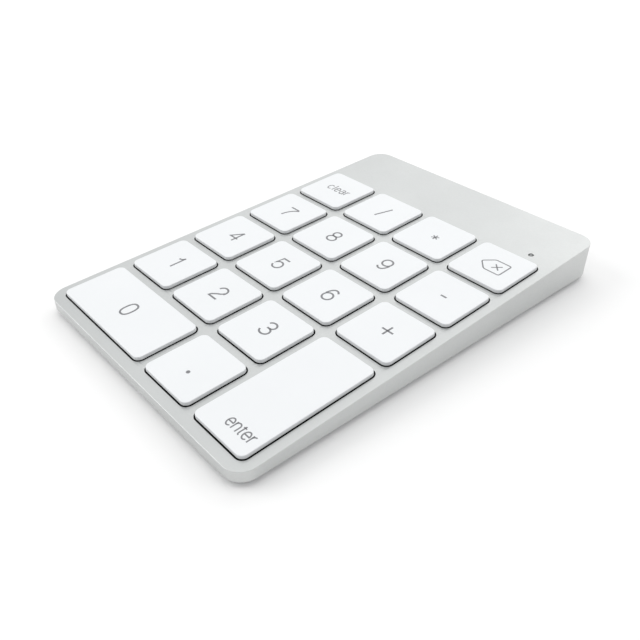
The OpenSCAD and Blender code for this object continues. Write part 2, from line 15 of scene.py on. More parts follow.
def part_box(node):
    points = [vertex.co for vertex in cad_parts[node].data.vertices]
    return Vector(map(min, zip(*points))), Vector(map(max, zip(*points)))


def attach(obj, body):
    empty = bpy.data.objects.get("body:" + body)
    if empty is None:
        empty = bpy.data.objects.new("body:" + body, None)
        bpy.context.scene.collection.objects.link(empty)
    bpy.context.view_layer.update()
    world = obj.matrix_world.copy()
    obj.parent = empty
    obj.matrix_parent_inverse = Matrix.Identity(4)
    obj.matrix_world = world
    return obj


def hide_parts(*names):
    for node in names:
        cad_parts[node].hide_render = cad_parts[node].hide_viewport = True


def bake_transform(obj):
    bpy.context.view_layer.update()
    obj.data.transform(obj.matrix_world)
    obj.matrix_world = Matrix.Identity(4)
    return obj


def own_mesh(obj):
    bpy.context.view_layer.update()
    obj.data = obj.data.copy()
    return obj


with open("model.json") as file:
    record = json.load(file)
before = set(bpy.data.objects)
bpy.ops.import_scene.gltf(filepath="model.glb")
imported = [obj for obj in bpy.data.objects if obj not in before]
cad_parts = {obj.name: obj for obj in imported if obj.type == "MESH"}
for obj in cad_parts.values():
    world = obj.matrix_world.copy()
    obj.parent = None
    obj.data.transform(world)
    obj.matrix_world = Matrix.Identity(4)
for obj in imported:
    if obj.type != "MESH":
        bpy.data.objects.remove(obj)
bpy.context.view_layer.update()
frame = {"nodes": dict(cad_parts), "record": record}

MM = 0.001
TAU = 2 * math.pi


# ---- Sizes, from the frame ---------------------------------------------------------------

def node_box(node):
    """Lowest and highest corner of a CAD node in millimetres."""
    low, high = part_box(node)
    return Vector(low) / MM, Vector(high) / MM


JOINTS = {joint["name"]: joint for joint in frame["record"]["behaviour"]["joints"]}
BODIES = frame["record"]["behaviour"]["bodies"]
KEYS = sorted(name.removeprefix("key_") for name in BODIES if name.startswith("key_"))
TURNED_KEYS = {"enter"}
LONG_KEYS = {"0", "enter"}

PRESS_AXIS = Vector(JOINTS["key_5_press"]["axis"])
TILT = math.asin(PRESS_AXIS.y)
SLOPE = math.tan(TILT)

CASE_LOW, CASE_HIGH = node_box("top_case")
CASE_W = CASE_HIGH.x - CASE_LOW.x
PLAN_L = CASE_HIGH.y - CASE_LOW.y
FRONT_H = CASE_HIGH.z - PLAN_L * SLOPE
WALL_BOTTOM = CASE_LOW.z
DECK = Matrix.Translation((0, CASE_LOW.y, FRONT_H)) @ Matrix.Rotation(TILT, 4, "X")

COVER_T = 1.0
COVER_BOTTOM = node_box("bottom_cover")[0].z
COVER_TOP = COVER_BOTTOM + COVER_T

PORT_LOW, PORT_HIGH = node_box("charging_port_shell")
PORT_Z = (PORT_LOW.z + PORT_HIGH.z) / 2

CORNER_R = 4.5
DECK_T = 1.0
WALL_T = 1.5
LIP_T = 0.6
BASE_EDGE_R = 0.45
CASE_EDGE_R = 0.1

KEY_GAP = 0.35
OPENING_R = 1.9
ROW_PITCH = 18.65
CAP_R = OPENING_R - KEY_GAP
# How far a cap stands above the deck, and how far its sides go below it
CAP_RISE = 0.9
CAP_SKIRT = 0.0
CAP_WALL = 0.8
CAP_CEILING = 0.35
CAP_EDGE_R = 0.17

# Heights from the deck of the membrane's top and of the levers' bars in cap and plate, at rest
LAYER_TOP = -2.02
DOME_PLAY = 0.01
CAP_AXIS = -0.1
PLATE_AXIS = -1.7
BAR_D = 0.6
LEVER_RISE = CAP_AXIS - PLATE_AXIS
MIDDLE_AXIS = (CAP_AXIS + PLATE_AXIS) / 2
OUTER_LEVER_L = 10.5
INNER_LEVER_L = 8.25
OUTER_LEVER_W = 12.4
INNER_LEVER_W = 10.6


def deck_height(y):
    """Height of the top face above a place y in the case's own frame."""
    return FRONT_H + (y - CASE_LOW.y) * SLOPE


def key_place(key):
    """Middle of a key on the deck, and its cap's width and length."""
    low, high = node_box("key_" + key)
    width = high.x - low.x
    length = (high.y - low.y - (CAP_RISE + CAP_SKIRT) * math.sin(TILT)) / math.cos(TILT)
    middle = (low.y + high.y) / 2 - (CAP_SKIRT - CAP_RISE) / 2 * math.sin(TILT)
    return Vector(((low.x + high.x) / 2, (middle - CASE_LOW.y) / math.cos(TILT))), width, length


# ---- Mesh helpers ------------------------------------------------------------------------

def rounded_ring(width, length, radius, steps=8):
    """Points round a rectangle with round corners, anticlockwise from the front right."""
    ring = []
    for quarter, (sx, sy) in enumerate([(1, -1), (1, 1), (-1, 1), (-1, -1)]):
        centre = Vector((sx * (width / 2 - radius), sy * (length / 2 - radius)))
        for step in range(steps + 1):
            angle = (quarter - 1 + step / steps) * TAU / 4
            ring.append(centre + radius * Vector((math.cos(angle), math.sin(angle))))
    return ring


def circle_ring(radius, count=32, centre=(0, 0)):
    """Points round a circle, anticlockwise."""
    return [
        Vector(centre) + radius * Vector((math.cos(TAU * i / count), math.sin(TAU * i / count)))
        for i in range(count)
    ]


def lift(ring, z):
    """A flat ring as 3-D points at height z."""
    return [Vector((p.x, p.y, z)) for p in ring]


def round_edge(radius, steps=4):
    """(inset, drop) pairs over a quarter-round edge, from the side up to the top face."""
    angles = [step / steps * TAU / 4 for step in range(steps + 1)]
    return [(radius * (1 - math.cos(a)), radius * (1 - math.sin(a))) for a in angles]


def loft(bm, rings, cap_first=True, cap_last=True):
    """Joins rings of equal length with quads. Returns the rings' vertices."""
    loops = [[bm.verts.new(p) for p in ring] for ring in rings]
    count = len(loops[0])
    for lower, upper in zip(loops, loops[1:]):
        for i in range(count):
            j = (i + 1) % count
            bm.faces.new((lower[i], lower[j], upper[j], upper[i]))
    if cap_first:
        bm.faces.new(list(reversed(loops[0])))
    if cap_last:
        bm.faces.new(loops[-1])
    return loops


def loop_edges(bm, loop):
    """The edges of a closed loop of vertices."""
    return [bm.edges.get((a, b)) or bm.edges.new((a, b)) for a, b in zip(loop, loop[1:] + loop[:1])]


def fill_between(bm, loops):
    """Fills a flat face that has holes, from its outer loop and its holes' loops."""
    edges = [edge for loop in loops for edge in loop_edges(bm, loop)]
    bmesh.ops.triangle_fill(bm, use_beauty=True, use_dissolve=False, edges=edges)


def add_tube(bm, rings_out, rings_in):
    """A closed ring-shaped solid: up the outside, across, and down the inside."""
    loops = loft(bm, rings_out + list(reversed(rings_in)), cap_first=False, cap_last=False)
    first, last = loops[0], loops[-1]
    count = len(first)
    for i in range(count):
        j = (i + 1) % count
        bm.faces.new((last[i], last[j], first[j], first[i]))


def add_box(bm, low, high, edge=0.08):
    """A box with small chamfers on all its edges."""
    low, high = Vector(low), Vector(high)
    size, middle = high - low, (low + high) / 2
    rings = []
    for inset, z in ((edge, low.z), (0, low.z + edge), (0, high.z - edge), (edge, high.z)):
        ring = rounded_ring(size.x - 2 * inset, size.y - 2 * inset, max(edge, 0.02), 2)
        rings.append([Vector((p.x + middle.x, p.y + middle.y, z)) for p in ring])
    loft(bm, rings)


def turned(bm, profile, matrix=Matrix(), count=32):
    """A solid of revolution about z from (radius, z) pairs that start and end off the axis."""
    rings = [lift(circle_ring(radius, count), z) for radius, z in profile]
    loops = loft(bm, rings)
    bmesh.ops.transform(bm, matrix=matrix, verts=[v for loop in loops for v in loop])


def add_bar(bm, start, end, radius, count=12):
    """A round bar between two points, with softened ends."""
    start, end = Vector(start), Vector(end)
    length = (end - start).length
    place = Matrix.Translation(start) @ (end - start).to_track_quat("Z", "Y").to_matrix().to_4x4()
    soft = radius * 0.25
    profile = [
        (radius - soft, 0), (radius, soft),
        (radius, length - soft), (radius - soft, length),
    ]
    turned(bm, profile, place, count)


def cut(piece, cutters):
    """Cuts closed solids, given as a bmesh, out of a piece."""
    mesh = bpy.data.meshes.new("cutter")
    bmesh.ops.recalc_face_normals(cutters, faces=cutters.faces)
    cutters.to_mesh(mesh)
    cutters.free()
    cutter = bpy.data.objects.new("cutter", mesh)
    mesh.transform(Matrix.Scale(MM, 4))
    bpy.context.scene.collection.objects.link(cutter)
    modifier = piece.modifiers.new("cut", "BOOLEAN")
    modifier.operation = "DIFFERENCE"
    modifier.solver = "EXACT"
    modifier.object = cutter
    bpy.context.view_layer.update()
    graph = bpy.context.evaluated_depsgraph_get()
    result = bpy.data.meshes.new_from_object(piece.evaluated_get(graph))
    piece.modifiers.remove(modifier)
    piece.data = result
    bpy.data.objects.remove(cutter)


def shade(piece, angle=32, weighted=True):
    """Smooth shading with sharp edges over an angle, and flat faces kept flat."""
    piece.data.shade_smooth()
    piece.data.set_sharp_from_angle(angle=math.radians(angle))
    if weighted:
        modifier = piece.modifiers.new("weighted_normals", "WEIGHTED_NORMAL")
        modifier.mode = "FACE_AREA"
        modifier.keep_sharp = True


def make_piece(name, bm, material, place=None):
    """Turns a bmesh in millimetres into an object in metres, with its material."""
    if place is not None:
        bmesh.ops.transform(bm, matrix=place, verts=bm.verts)
    bmesh.ops.transform(bm, matrix=Matrix.Scale(MM, 4), verts=bm.verts)
    bmesh.ops.recalc_face_normals(bm, faces=bm.faces)
    mesh = bpy.data.meshes.new(name)
    bm.to_mesh(mesh)
    bm.free()
    piece = bpy.data.objects.new(name, mesh)
    bpy.context.scene.collection.objects.link(piece)
    mesh.materials.append(material)
    return piece


# ---- Materials ---------------------------------------------------------------------------

def add_noise(tree, place, size, detail):
    """Noise of a size in millimetres, fixed to the object."""
    node = tree.nodes.new("ShaderNodeTexNoise")
    node.inputs["Scale"].default_value = 1 / (size * MM)
    node.inputs["Detail"].default_value = detail
    tree.links.new(place.outputs["Object"], node.inputs["Vector"])
    return node.outputs["Fac"]


def add_range(tree, value, ends, results):
    """Carries a value from one range of numbers to another."""
    node = tree.nodes.new("ShaderNodeMapRange")
    node.inputs["From Min"].default_value, node.inputs["From Max"].default_value = ends
    node.inputs["To Min"].default_value, node.inputs["To Max"].default_value = results
    tree.links.new(value, node.inputs["Value"])
    return node.outputs["Result"]


def patchy_color(tree, place, color, tint, patch):
    """A colour that wanders a little lighter and darker in soft patches."""
    ramp = tree.nodes.new("ShaderNodeValToRGB")
    low, high = ramp.color_ramp.elements
    low.position, high.position = 0.3, 0.7
    low.color = [*(c * (1 - tint) for c in color), 1]
    high.color = [*(min(c * (1 + tint), 1) for c in color), 1]
    tree.links.new(add_noise(tree, place, patch, 3), ramp.inputs["Fac"])
    return ramp.outputs["Color"]


def paint_side_shade(tree, place, color, side):
    """A colour times side, apart from where the face looks up: painted shade on upright faces."""
    facing = tree.nodes.new("ShaderNodeSeparateXYZ")
    tree.links.new(place.outputs["Normal"], facing.inputs["Vector"])
    shaded = tree.nodes.new("ShaderNodeVectorMath")
    shaded.operation = "SCALE"
    tree.links.new(color, shaded.inputs[0])
    dim = add_range(tree, facing.outputs["Z"], (0.4, 0.9), (side, 1.0))
    tree.links.new(dim, shaded.inputs["Scale"])
    return shaded.outputs["Vector"]


def grain_relief(tree, place, grain, depth):
    """A bump from fine grain, with its size and depth in millimetres."""
    relief = tree.nodes.new("ShaderNodeBump")
    relief.inputs["Strength"].default_value = 1.0
    relief.inputs["Distance"].default_value = depth * MM
    tree.links.new(add_noise(tree, place, grain, 2), relief.inputs["Height"])
    return relief.outputs["Normal"]


def surface(
    name, color, roughness, metallic=0.0, grain=0.15, bump=0.08, tint=0.03,
    patch=14.0, spread=0.05, side=1.0, **sockets
):
    """A procedural surface: fine grain in the bump, and soft patches in colour and gloss.

    grain and patch are sizes in millimetres, bump is the grain's depth in hundredths of a
    millimetre, and tint and spread are how far colour and roughness wander. side dims the
    colour of upright faces as painted shade.
    """
    material = bpy.data.materials.new(name)
    material.use_nodes = True
    tree = material.node_tree
    shader = tree.nodes["Principled BSDF"]
    shader.inputs["Metallic"].default_value = metallic
    for socket, value in sockets.items():
        shader.inputs[socket.replace("_", " ")].default_value = value
    place = tree.nodes.new("ShaderNodeTexCoord")
    patches = patchy_color(tree, place, color, tint, patch)
    tree.links.new(paint_side_shade(tree, place, patches, side), shader.inputs["Base Color"])
    specks = add_noise(tree, place, grain * 4, 4)
    gloss = add_range(tree, specks, (0.3, 0.7), (roughness - spread, roughness + spread))
    tree.links.new(gloss, shader.inputs["Roughness"])
    relief = grain_relief(tree, place, grain, bump * 0.01)
    tree.links.new(relief, shader.inputs["Normal"])
    return material


ALUMINIUM = surface("bead_blasted_aluminium", (0.609, 0.619, 0.614), 0.42, metallic=1.0,
                    grain=0.12, bump=0.5, tint=0.02, spread=0.05)
# Key caps: side=0.87 is painted shade, making their upright sides darker than their tops.
KEY_WHITE = surface("key_white_plastic", (0.815, 0.825, 0.835), 0.42, grain=0.25, bump=0.12,
                    tint=0.008, spread=0.04, side=0.87)
LEGEND = surface("legend_grey_ink", (0.215, 0.215, 0.225), 0.6, grain=0.1, bump=0.2, tint=0.05)
BASE = surface("base_plastic", (0.5, 0.51, 0.52), 0.55, grain=0.3, bump=1.2, tint=0.02)
# Near black: painted shade on the hinge plate, standing in for the shade in the gaps round the keys.
GAP_SHADE_STEEL = surface("black_painted_steel", (0.006, 0.006, 0.007), 0.6, grain=0.2, bump=0.4)
# Near black as well: painted shade on the membrane seen through the key gaps.
GAP_SHADE_FILM = surface("printed_film", (0.008, 0.009, 0.009), 0.5, grain=0.5, bump=0.3)
STEEL = surface("steel", (0.55, 0.55, 0.56), 0.3, metallic=1.0, grain=0.15, bump=0.3, tint=0.05)
LEVER = surface("lever_plastic", (0.75, 0.75, 0.73), 0.4, grain=0.3, bump=0.2)
SILICONE = surface("silicone", (0.7, 0.73, 0.73), 0.45, grain=0.4, bump=0.2,
                   Subsurface_Weight=0.15, Subsurface_Scale=0.001)
RUBBER = surface("foot_rubber", (0.06, 0.062, 0.066), 0.75, grain=0.2, bump=1.5, tint=0.08)
BOARD = surface("solder_mask", (0.012, 0.08, 0.04), 0.35, grain=0.8, bump=0.5, tint=0.15, patch=4)
CHIP = surface("chip_plastic", (0.02, 0.02, 0.022), 0.55, grain=0.1, bump=0.6)
FOIL = surface("battery_foil", (0.55, 0.56, 0.56), 0.35, metallic=1.0, grain=1.5, bump=4, tint=0.04)
BLACK_PLASTIC = surface("black_plastic", (0.012, 0.012, 0.013), 0.5, grain=0.15, bump=0.8)
GOLD = surface("gold_contacts", (0.75, 0.52, 0.2), 0.25, metallic=1.0, grain=0.2, bump=0.1)
LENS = surface("light_pipe_plastic", (0.42, 0.43, 0.43), 0.18, grain=0.4, bump=0.1,
               Transmission_Weight=0.35, IOR=1.5)


def repaint(node, material):
    """Gives a CAD node that shows as it is a better material."""
    mesh = frame["nodes"][node].data
    mesh.materials.clear()
    mesh.materials.append(material)


# ---- Case --------------------------------------------------------------------------------

def case_ring(inset, height):
    """The case's outline, inset, at a height that may depend on y."""
    ring = rounded_ring(CASE_W - 2 * inset, PLAN_L - 2 * inset, CORNER_R - inset, 12)
    return [Vector((p.x, p.y, height(p.y))) for p in ring]


def opening_rings(key):
    """Rings down the wall of a key's opening, in the case's frame."""
    centre, width, length = key_place(key)
    soft = 0.04
    rings = []
    for grow, z in ((soft, 0), (soft * 0.3, -soft * 0.3), (0, -soft), (0, -DECK_T)):
        margin = 2 * (KEY_GAP + grow)
        ring = rounded_ring(width + margin, length + margin, OPENING_R + grow)
        rings.append([DECK @ Vector((p.x + centre.x, p.y + centre.y, z)) for p in ring])
    return rings


LIGHT_HOLE_R = 0.7
LIGHT_R = 0.6
LENS_R = 0.4
LIGHT_PIPE_L = 4.6


def light_place():
    """Middle of the status light on the deck. The light pipe's foot stands over the LED."""
    pipe_low, pipe_high = node_box("light_pipe")
    led_low, led_high = node_box("status_led")
    x = (pipe_low.x + pipe_high.x) / 2
    foot_y = (led_low.y + led_high.y) / 2
    y = (foot_y - CASE_LOW.y - LIGHT_PIPE_L * math.sin(TILT)) / math.cos(TILT)
    return Vector((x, y))


def light_rings():
    """Rings down the wall of the light's hole, in the case's frame."""
    centre = light_place()
    soft = 0.06
    rings = []
    for radius, z in ((LIGHT_HOLE_R + soft, 0), (LIGHT_HOLE_R, -soft), (LIGHT_HOLE_R, -DECK_T)):
        rings.append([DECK @ p for p in lift(circle_ring(radius, 24, centre), z)])
    return rings


SCREW_HEAD_R = 1.4
SCREW_BORE_R = 0.75
MIDDLE_SCREW_X = 19


def screw_places():
    """The case screws: two in the middle, then two at the back."""
    low, high = node_box("case_screws")
    middle_y = low.y + SCREW_HEAD_R
    rear_x, rear_y = high.x - SCREW_HEAD_R, high.y - SCREW_HEAD_R
    middle = [(side * MIDDLE_SCREW_X, middle_y) for side in (-1, 1)]
    return middle + [(side * rear_x, rear_y) for side in (-1, 1)]


def add_post(bm, place, radius, bore, ends, bore_ends):
    """A round post with a blind screw hole. Both pairs of heights end at its open end."""
    outer = [lift(circle_ring(radius, 24, place), z) for z in ends]
    inner = [lift(circle_ring(bore, 24, place), z) for z in bore_ends]
    loft(bm, outer + list(reversed(inner)))


def add_case_posts(case):
    """Adds the posts in the rear corners, whose blind holes take the rear screws."""
    radius = 2
    # Their roots end inside the deck's thickness
    sink = 0.6
    foot = COVER_TOP + 0.02
    hole_top = 7.1
    bm = bmesh.new()
    bm.from_mesh(case.data)
    bmesh.ops.transform(bm, matrix=Matrix.Scale(1 / MM, 4), verts=bm.verts)
    for place in screw_places()[2:]:
        root = deck_height(place[1]) - sink
        add_post(bm, place, radius, SCREW_BORE_R, (root, foot), (hole_top, foot))
    bmesh.ops.transform(bm, matrix=Matrix.Scale(MM, 4), verts=bm.verts)
    bm.to_mesh(case.data)
    bm.free()


# How far the cutters reach past the back wall's outer face, inward and outward
CUT_IN = 3
CUT_OUT = 1

# Holes in the back wall. The slider's knob and its stem need their travel and some play.
PORT_HOLE_W, PORT_HOLE_H, PORT_HOLE_R = 9.2, 3.46, 1.72
BUTTON_HOLE_D, BUTTON_HOLE_R, BUTTON_FLARE = 3.3, 1.649, 0.1
SLIDER_KNOB_W, RECESS_PLAY, RECESS_H, RECESS_R, RECESS_DEPTH = 2.8, 0.6, 2.5, 0.8, 0.7
SLIDER_STEM_W, SLOT_PLAY, SLOT_H, SLOT_R = 1.4, 0.3, 1.3, 0.2


def slot_cutter(bm, x, width, height, radius, depth):
    """A rounded slot in the back wall, down to a depth, level with the port."""
    ring = rounded_ring(width, height, radius, 8)
    ends = (CASE_HIGH.y - depth, CASE_HIGH.y + CUT_OUT)
    loft(bm, [[Vector((p.x + x, y, p.y + PORT_Z)) for p in ring] for y in ends])


def flared_cutter(bm, x, width, height, radius, flare=0.14):
    """A rounded hole through the back wall, level with the port, with a chamfered mouth."""
    back = CASE_HIGH.y
    stations = ((back - CUT_IN, 0), (back - flare, 0), (back + 0.02, flare), (back + CUT_OUT, flare))
    rings = []
    for y, grow in stations:
        ring = rounded_ring(width + 2 * grow, height + 2 * grow, radius + grow, 8)
        rings.append([Vector((p.x + x, y, p.y + PORT_Z)) for p in ring])
    loft(bm, rings)


def cut_back_wall(case):
    """Cuts the holes for the port, the pairing button and the power slider."""
    button_low, button_high = node_box("pairing_button")
    slider_low, slider_high = node_box("power_slider")
    travel = JOINTS["power_slider_move"]["range_m"][1] / MM
    button_x = (button_low.x + button_high.x) / 2
    slider_x = (slider_low.x + slider_high.x + travel) / 2

    holes = bmesh.new()
    flared_cutter(holes, 0, PORT_HOLE_W, PORT_HOLE_H, PORT_HOLE_R)
    flared_cutter(holes, button_x, BUTTON_HOLE_D, BUTTON_HOLE_D, BUTTON_HOLE_R, BUTTON_FLARE)
    recess_w = SLIDER_KNOB_W + travel + RECESS_PLAY
    slot_cutter(holes, slider_x, recess_w, RECESS_H, RECESS_R, RECESS_DEPTH)
    cut(case, holes)
    slot = bmesh.new()
    slot_w = SLIDER_STEM_W + travel + SLOT_PLAY
    slot_cutter(slot, slider_x, slot_w, SLOT_H, SLOT_R, CUT_IN)
    cut(case, slot)


def build_case():
    """The shell: over the deck's edge, down the walls, in under the lip and up inside."""
    bm = bmesh.new()
    rings = []
    for inset, drop in reversed(round_edge(CASE_EDGE_R, 5)):
        rings.append(case_ring(inset, lambda y, drop=drop: deck_height(y) - drop))
    for inset, rise in round_edge(BASE_EDGE_R, 6):
        rings.append(case_ring(inset, lambda y, rise=rise: WALL_BOTTOM + rise))
    rings.append(case_ring(LIP_T, lambda y: WALL_BOTTOM))
    rings.append(case_ring(LIP_T, lambda y: COVER_TOP))
    rings.append(case_ring(WALL_T, lambda y: COVER_TOP))
    rings.append(case_ring(WALL_T, lambda y: deck_height(y) - DECK_T / math.cos(TILT)))
    shell = loft(bm, rings, cap_first=False, cap_last=False)
    holes = [loft(bm, opening_rings(key), False, False) for key in KEYS]
    holes.append(loft(bm, light_rings(), False, False))
    fill_between(bm, [shell[0]] + [hole[0] for hole in holes])
    fill_between(bm, [shell[-1]] + [hole[-1] for hole in holes])
    case = make_piece("aluminium_case", bm, ALUMINIUM)
    cut_back_wall(case)
    add_case_posts(case)
    case.data.materials.clear()
    case.data.materials.append(ALUMINIUM)
    shade(case)
    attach(case, "case")
    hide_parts("top_case")


# ---- Key caps ----------------------------------------------------------------------------

# Where the hooks of the outer levers, the inner levers and the stabiliser wires are, either
# side of the key's middle, and how far a bar can slide in them
OUTER_HOOK_X, OUTER_SLIDE = 4.6, 0.16
INNER_HOOK_X = 2.6
WIRE_HOOK_X, WIRE_HOOK_Y, WIRE_SLIDE = 10, 6.337, 0.28


def add_hook(bm, x, y, z, root, slide, width=0.9):
    """A hook round a bar that lies along x, joined to the part at height root."""
    play = 0.05
    bore = BAR_D / 2 + play
    half = bore + 0.27
    reach = bore + 0.2
    low, high = (z - reach, root) if root > z else (root, z + reach)
    count = 24
    inner, outer = [], []
    for i in range(count):
        angle = TAU * i / count
        c, s = math.cos(angle), math.sin(angle)
        inner.append(Vector((0, y + bore * c + (slide if c > 0 else 0), z + bore * s)))
        stretch = min(
            (half + (slide if c > 0 else 0)) / max(abs(c), 1e-6),
            (high - z if s > 0 else z - low) / max(abs(s), 1e-6),
        )
        outer.append(Vector((0, y + stretch * c, z + stretch * s)))
    sides = [Vector((x - width / 2, 0, 0)), Vector((x + width / 2, 0, 0))]
    add_tube(
        bm,
        [[p + side for p in outer] for side in sides],
        [[p + side for p in inner] for side in sides],
    )


def end_place(length):
    """How far a lever's end bar is from the key's middle, at rest."""
    return length / 2 * math.cos(math.asin(LEVER_RISE / length))


def key_frame(key):
    """The key's own frame: x along its lever bars, z square to the deck."""
    centre = key_place(key)[0]
    turn = Matrix.Rotation(TAU / 4 if key in TURNED_KEYS else 0, 4, "Z")
    return DECK @ Matrix.Translation((centre.x, centre.y, 0)) @ turn


def build_key(key):
    """A hollow cap with a rounded top edge, and the hooks under it that hold its levers."""
    _, width, length = key_place(key)
    bm = bmesh.new()
    soft = 0.06
    draft = 0.03
    profile = [(soft, -CAP_SKIRT), (0, -CAP_SKIRT + soft)]
    profile += [(draft + inset, CAP_RISE - drop) for inset, drop in round_edge(CAP_EDGE_R, 5)]
    rings = [
        lift(rounded_ring(width - 2 * inset, length - 2 * inset, CAP_R - inset * 0.6), z)
        for inset, z in profile
    ]
    inside = [
        lift(rounded_ring(width - 2 * CAP_WALL, length - 2 * CAP_WALL, CAP_R - CAP_WALL + 0.1), z)
        for z in (CAP_CEILING, -CAP_SKIRT)
    ]
    loft(bm, inside + rings)
    turn = Matrix.Rotation(-TAU / 4 if key in TURNED_KEYS else 0, 4, "Z")
    bmesh.ops.transform(bm, matrix=turn, verts=bm.verts)
    root = CAP_CEILING + 0.02
    outer_y, inner_y = end_place(OUTER_LEVER_L), -end_place(INNER_LEVER_L)
    for side in (-1, 1):
        add_hook(bm, side * OUTER_HOOK_X, outer_y, CAP_AXIS, root, OUTER_SLIDE)
        add_hook(bm, side * INNER_HOOK_X, inner_y, CAP_AXIS, root, 0)
        if key in LONG_KEYS:
            add_hook(bm, side * WIRE_HOOK_X, WIRE_HOOK_Y, CAP_AXIS, root, WIRE_SLIDE)
    cap = make_piece("cap_" + key, bm, KEY_WHITE, key_frame(key))
    shade(cap, 40)
    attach(cap, "key_" + key)
    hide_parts("key_" + key)


# ---- Legends -----------------------------------------------------------------------------

STROKE = 0.48
STROKES = {"clear": 0.31, "enter": 0.32, "backspace": 0.34, "multiply": 0.34}
STAR_R, STAR_ARMS = 1.08, 6
DOT_R = 0.48
INK_T = 0.02

# Where the legends' middles are about their keys' middles, and how far each row, from the
# front, was printed up its keys
LEGEND_X, LEGEND_Y = 0.42, 0.05
CLEAR_X = 0.6
ROW_NUDGE = (-0.12, 0.38, 0.18, 0.03, -0.15)
# The word on the tall key is near its front: its place across, and up from the cap's edge
ENTER_X, ENTER_UP = 2.4, 4.15
# The decimal dot about its legend's middle
DOT_PLACE = (-0.05, -1.95)


def arc(cx, cy, rx, ry, start, end, count=14):
    """Points along an ellipse, between two angles in degrees."""
    points = []
    for i in range(count + 1):
        angle = math.radians(start + (end - start) * i / count)
        points.append(Vector((cx + rx * math.cos(angle), cy + ry * math.sin(angle))))
    return points


def line(*points):
    """Points joined by straight lines."""
    return [Vector(p) for p in points]


def superellipse(rx, ry, power=2.5, count=40):
    """Points round an upright oval with fuller shoulders than an ellipse."""
    points = []
    for i in range(count):
        c, s = math.cos(TAU * i / count), math.sin(TAU * i / count)
        x = math.copysign(abs(c) ** (2 / power), c)
        y = math.copysign(abs(s) ** (2 / power), s)
        points.append(Vector((rx * x, ry * y)))
    return points


def flipped(strokes):
    """The same strokes turned upside down."""
    return [([-p for p in points], closed) for points, closed in strokes]


SIX = [
    (arc(0, -0.82, 1.38, 1.4, 0, 360, 28)[:-1], True),
    (arc(0.05, 1.12, 1.25, 1.1, 20, 95, 6) + arc(0.12, -0.45, 1.5, 2.67, 98, 172, 14), False),
]

# Each glyph: strokes as (points, closed), in millimetres about the glyph's middle
GLYPHS = {
    "0": [(superellipse(1.4, 2.22), True)],
    "1": [(arc(-1.0, 2.5, 1.35, 1.22, 270, 352, 8), False), (line((0.34, 2.4), (0.34, -2.4)), False)],
    "2": [(
        arc(0.0, 0.9, 1.38, 1.32, 175, -20, 16)
        + arc(-1.45, 1.75, 2.95, 2.6, -28, -62, 6)
        + line((-1.2, -1.55), (-1.42, -2.2), (1.5, -2.2)),
        False,
    )],
    "3": [
        (arc(0, 1.14, 1.25, 1.08, 165, -78, 18), False),
        (arc(0, -1.02, 1.42, 1.2, 82, -168, 20), False),
        (line((-0.5, 0.13), (0.25, 0.13)), False),
    ],
    "4": [
        (line((0.95, 2.2), (-1.25, -0.85), (1.7, -0.85)), False),
        (line((0.95, 2.3), (0.95, -2.3)), False),
    ],
    "5": [(
        line((1.28, 2.2), (-0.88, 2.2), (-1.25, -0.2))
        + arc(0.02, -0.78, 1.4, 1.42, 140, -162, 22),
        False,
    )],
    "6": SIX,
    "7": [(line((-1.45, 2.2), (1.42, 2.2)) + arc(3.6, -2.9, 4.3, 5.4, 116, 174, 10), False)],
    "8": [
        (arc(0, 1.14, 1.2, 1.06, 0, 360, 26)[:-1], True),
        (arc(0, -1.04, 1.4, 1.16, 0, 360, 28)[:-1], True),
    ],
    "9": flipped(SIX),
    "plus": [(line((-1.65, 0), (1.65, 0)), False), (line((0, -1.65), (0, 1.65)), False)],
    "minus": [(line((-0.85, 0), (0.85, 0)), False)],
    "divide": [(line((-0.86, -2.72), (0.86, 2.72)), False)],
    "multiply": [
        (line((0, 0), (STAR_R * math.cos(a), STAR_R * math.sin(a))), False)
        for a in (TAU / 4 + TAU / STAR_ARMS * arm for arm in range(STAR_ARMS))
    ],
}


def letters(word):
    """Strokes of a small lower-case word about its middle."""
    rise, wide, ascent = 2.1, 1.5, 2.95
    round_y, half = rise / 2, wide / 2
    # Each letter: its width and its strokes
    shapes = {
        "c": (wide - 0.1, [(arc(half, round_y, half, round_y, 42, 318, 18), False)]),
        "l": (0.3, [(line((0.15, 0), (0.15, ascent)), False)]),
        "e": (wide, [(
            line((0.04, round_y + 0.05), (wide - 0.02, round_y + 0.05))
            + arc(half, round_y, half, round_y, 8, 318, 20),
            False,
        )]),
        "a": (wide - 0.1, [
            (arc(half - 0.1, round_y - 0.42, half - 0.1, 0.66, 0, 360, 18)[:-1], True),
            (arc(half - 0.1, rise - 0.58, half - 0.12, 0.6, 155, 0, 10) + line((wide - 0.2, 0)), False),
        ]),
        "n": (wide - 0.15, [
            (line((0, 0), (0, rise)), False),
            (arc(0.67, rise - 0.75, 0.67, 0.75, 170, 0, 10) + line((1.34, 0)), False),
        ]),
        "t": (0.75, [
            (line((0.32, ascent - 0.45), (0.32, 0.5)) + arc(0.7, 0.45, 0.38, 0.43, 180, 270, 5), False),
            (line((-0.08, rise - 0.05), (0.8, rise - 0.05)), False),
        ]),
        "r": (0.75, [
            (line((0, 0), (0, rise)), False),
            (arc(0.72, rise - 0.85, 0.72, 0.85, 170, 88, 7), False),
        ]),
    }
    strokes, x = [], 0.0
    gap = 0.5 if "t" in word else 0.62
    for letter in word:
        width, shape = shapes[letter]
        strokes += [([p + Vector((x, 0)) for p in points], closed) for points, closed in shape]
        x += width + gap
    width = x - gap
    return [([p - Vector((width / 2, rise / 2)) for p in points], closed) for points, closed in strokes]


def rounded_path(corners, radius, steps=4):
    """A closed outline through corners, each cut by a small round."""
    points = []
    for i, corner in enumerate(corners):
        corner = Vector(corner)
        before = (Vector(corners[i - 1]) - corner).normalized()
        after = (Vector(corners[(i + 1) % len(corners)]) - corner).normalized()
        for step in range(steps + 1):
            t = step / steps
            a, b = corner + before * radius, corner + after * radius
            points.append(a * (1 - t) ** 2 + corner * 2 * t * (1 - t) + b * t ** 2)
    return points


